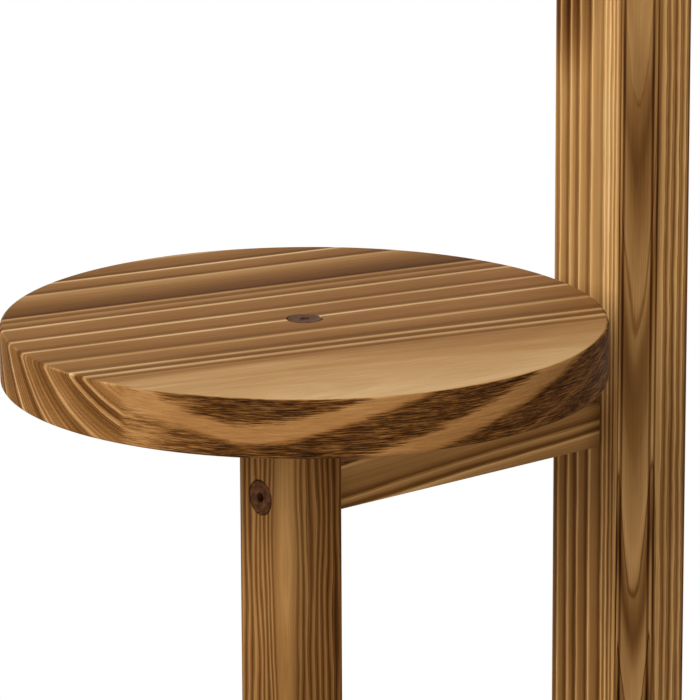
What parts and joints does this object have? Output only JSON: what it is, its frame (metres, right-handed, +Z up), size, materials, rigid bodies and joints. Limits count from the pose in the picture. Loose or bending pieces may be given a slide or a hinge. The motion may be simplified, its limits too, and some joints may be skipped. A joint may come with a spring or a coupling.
{
  "type": "tiered plant stand",
  "caption": "Tiered plant stand: a tall square post with a round shelf on top and lower round shelves on square legs around it, joined by slim rails and bolts.",
  "frame": {"origin": "on the floor, under the middle of the main post", "axes": "+Z up; the second tier's rail runs along X from its leg at -X to the post; tiers 3, 4 and 5 stand at -Y, +X and +Y"},
  "size_m": [0.603, 0.603, 1.05],
  "materials": {
    "disc_wood": "scorched and brushed pine under a thin satin lacquer",
    "upright_wood": "scorched and brushed pine under a thin satin lacquer",
    "rail_wood": "scorched and brushed pine under a thin satin lacquer",
    "dowel_wood": "plain beech",
    "bolt_finish": "dark bronze plating, satin",
    "zinc_plate": "zinc plated",
    "glide_nylon": "matt brown nylon"
  },
  "bodies": {
    "root": {"tier_1_disc": "disc_wood", "main_post": "upright_wood", "tier_2_disc": "disc_wood", "tier_2_leg": "upright_wood", "tier_2_upper_rail": "rail_wood", "tier_2_foot_rail": "rail_wood", "tier_3_disc": "disc_wood", "tier_3_leg": "upright_wood", "tier_3_upper_rail": "rail_wood", "tier_3_foot_rail": "rail_wood", "tier_4_disc": "disc_wood", "tier_4_leg": "upright_wood", "tier_4_upper_rail": "rail_wood", "tier_4_foot_rail": "rail_wood", "tier_5_disc": "disc_wood", "tier_5_leg": "upright_wood", "tier_5_upper_rail": "rail_wood", "tier_5_foot_rail": "rail_wood", "main_post_glide": "glide_nylon", "tier_2_glide": "glide_nylon", "tier_3_glide": "glide_nylon", "tier_4_glide": "glide_nylon", "tier_5_glide": "glide_nylon", "disc_bolts": "bolt_finish", "leg_bolts": "bolt_finish", "post_bolts": "bolt_finish", "leg_end_nuts": "zinc_plate", "post_end_nuts": "zinc_plate", "disc_inserts": "zinc_plate", "disc_dowels": "dowel_wood", "glide_nails": "zinc_plate"}
  },
  "joints": []
}
